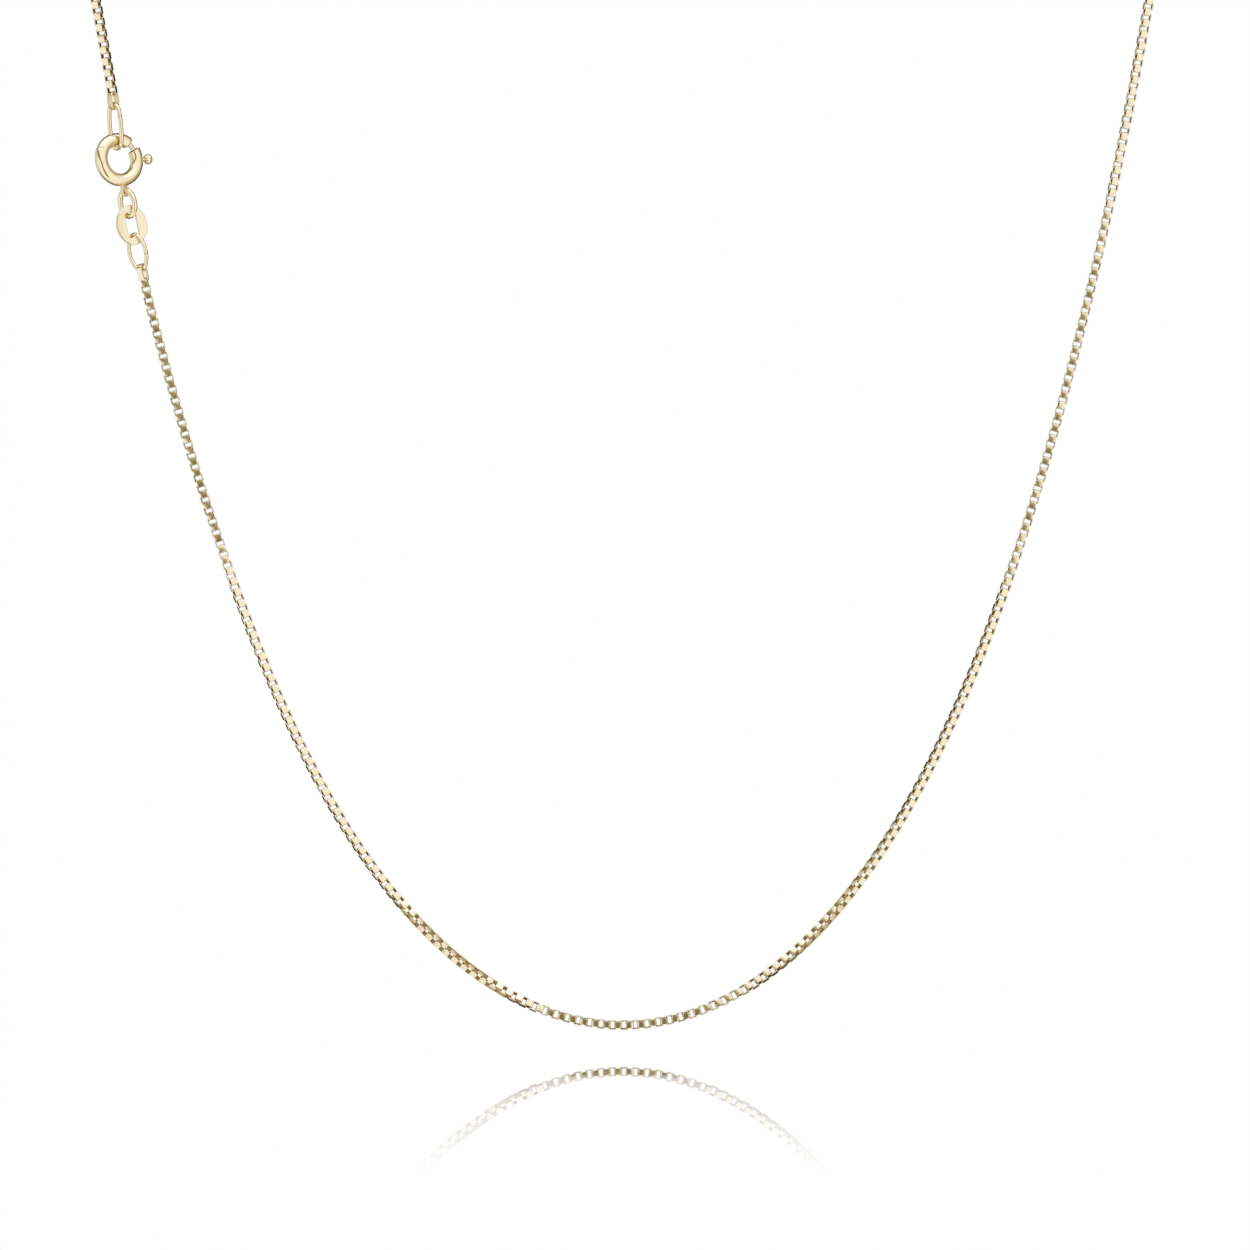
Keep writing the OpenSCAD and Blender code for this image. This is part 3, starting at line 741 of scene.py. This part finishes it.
# Brightness round the studio by the angle from the camera: the soft boxes in front, the room beside the
# necklace, the dark flags that outline it against the white backdrop, and the backdrop.
STUDIO = [(0, 0.8), (13, 0.95), (21, 1.06), (70, 1.03), (88, 0.6), (116, 0.48), (124, 0.1),
          (154, 0.06), (164, 1.0), (180, 1.0)]
ramp = add_node(tree, "ShaderNodeValToRGB", {0: share})
set_stops(ramp.color_ramp, [(degrees / 180, light(level)) for degrees, level in STUDIO])

# What else stands there: degrees from the camera, direction from the right turning up, half its size in
# degrees outwards from the camera and across, and its brightness. The ceiling of the tent, the light floor
# in front, the pale wall, the room's dark edge, the table, the dim gap where the camera looks through, and
# the camera's stand.
THINGS = [((75, 90), (28, 60), 1.25), ((80, 270), (22, 50), 1.02), ((115, 180), (25, 35), 0.85),
          ((49, 151), (60, 9), 0.3), ((108, 247), (16, 34), 0.5), ((1, 270), (10, 13), 0.36),
          ((27, 272), (28, 11), 0.2)]
# Each fades out between these shares of its half size.
FADE_FROM, FADE_TO = 0.75, 1.25
look = ramp.outputs["Color"]
for (away, clock), (half_out, half_across), level in THINGS:
    away, clock = math.radians(away), math.radians(clock)
    turn_out = Vector((math.cos(clock), 0, math.sin(clock)))
    middle = math.sin(away) * turn_out - math.cos(away) * Vector((0, 1, 0))
    out = math.cos(away) * turn_out + math.sin(away) * Vector((0, 1, 0))
    sideways = add_node(tree, "ShaderNodeVectorMath", {
        0: direction, 1: middle.cross(out) / math.sin(math.radians(half_across))},
        operation="DOT_PRODUCT").outputs["Value"]
    outwards = add_node(tree, "ShaderNodeVectorMath", {
        0: direction, 1: out / math.sin(math.radians(half_out))}, operation="DOT_PRODUCT").outputs["Value"]
    facing_it = add_node(tree, "ShaderNodeVectorMath", {0: direction, 1: middle}, operation="DOT_PRODUCT")
    behind = add_node(tree, "ShaderNodeMath", {0: 1.0, 1: facing_it.outputs["Value"]}, operation="SUBTRACT")
    place = add_node(tree, "ShaderNodeCombineXYZ", {0: sideways, 1: outwards, 2: behind.outputs[0]})
    far = add_node(tree, "ShaderNodeVectorMath", {0: place.outputs[0]}, operation="LENGTH")
    covered = add_node(tree, "ShaderNodeMapRange", {
        "Value": far.outputs["Value"], "From Min": FADE_FROM, "From Max": FADE_TO,
        "To Min": 1.0, "To Max": 0.0}, interpolation_type="SMOOTHSTEP")
    look = add_node(tree, "ShaderNodeMix", {0: covered.outputs["Result"], 6: look, 7: light(level)},
                    data_type="RGBA").outputs[2]

# The camera and the floor's sharp mirror see only the white backdrop, and the softer gold sees the studio.
studio = add_node(tree, "ShaderNodeBackground", {"Color": look, "Strength": 2.0})
backdrop = add_node(tree, "ShaderNodeBackground", {"Color": (1, 1, 1, 1), "Strength": 1.0})
rays = add_node(tree, "ShaderNodeLightPath").outputs
plain = add_node(tree, "ShaderNodeMath", {
    0: rays["Is Camera Ray"], 1: rays["Is Singular Ray"]}, operation="MAXIMUM").outputs[0]
mixed = add_node(tree, "ShaderNodeMixShader", {
    0: plain, 1: studio.outputs[0], 2: backdrop.outputs[0]})
add_node(tree, "ShaderNodeOutputWorld", {"Surface": mixed.outputs[0]})

# The floor
# How clearly it mirrors by the distance in mm from the point below the drop: there at its clearest.
FLOOR_MIRROR = [(0, 1.0), (41, 0.95), (47, 0.5), (160, 0.0)]
FLOOR_BELOW, FLOOR_HALF = 2.33, 3000.0
floor_work = bmesh.new()
bmesh.ops.create_grid(floor_work, x_segments=1, y_segments=1, size=FLOOR_HALF * MM)
floor_mesh = bpy.data.meshes.new("floor")
floor_work.to_mesh(floor_mesh)
floor_work.free()
floor = bpy.data.objects.new("floor", floor_mesh)
floor.location = (0, 0, (lowest - FLOOR_BELOW) * MM)
scene.collection.objects.link(floor)
floor.visible_glossy = False
floor.visible_diffuse = False

# White acrylic sheet, cast and polished: as white as the backdrop, with a sharp mirror image that fades.
floor_material = bpy.data.materials.new("white_acrylic_floor")
floor_material.use_nodes = True
tree = floor_material.node_tree
tree.nodes.clear()
place = add_node(tree, "ShaderNodeTexCoord").outputs["Object"]
from_drop = add_node(tree, "ShaderNodeVectorMath", {
    0: place, 1: (0, -SHOULDER_DEPTH * MM, 0)}, operation="DISTANCE")
mirror_end = FLOOR_MIRROR[-1][0]
reach = add_node(tree, "ShaderNodeMath", {
    0: from_drop.outputs["Value"], 1: mirror_end * MM}, operation="DIVIDE")
fade = add_node(tree, "ShaderNodeValToRGB", {0: reach.outputs[0]})
set_stops(fade.color_ramp, [(far / mirror_end, (clear, clear, clear, 1)) for far, clear in FLOOR_MIRROR])
white = add_node(tree, "ShaderNodeEmission", {"Color": (1, 1, 1, 1), "Strength": 1.0})
gloss = add_node(tree, "ShaderNodeBsdfGlossy", {"Color": (1, 1, 1, 1), "Roughness": 0.0})
surface = add_node(tree, "ShaderNodeMixShader", {
    0: fade.outputs["Color"], 1: white.outputs[0], 2: gloss.outputs[0]})
add_node(tree, "ShaderNodeOutputMaterial", {"Surface": surface.outputs[0]})
floor_mesh.materials.append(floor_material)
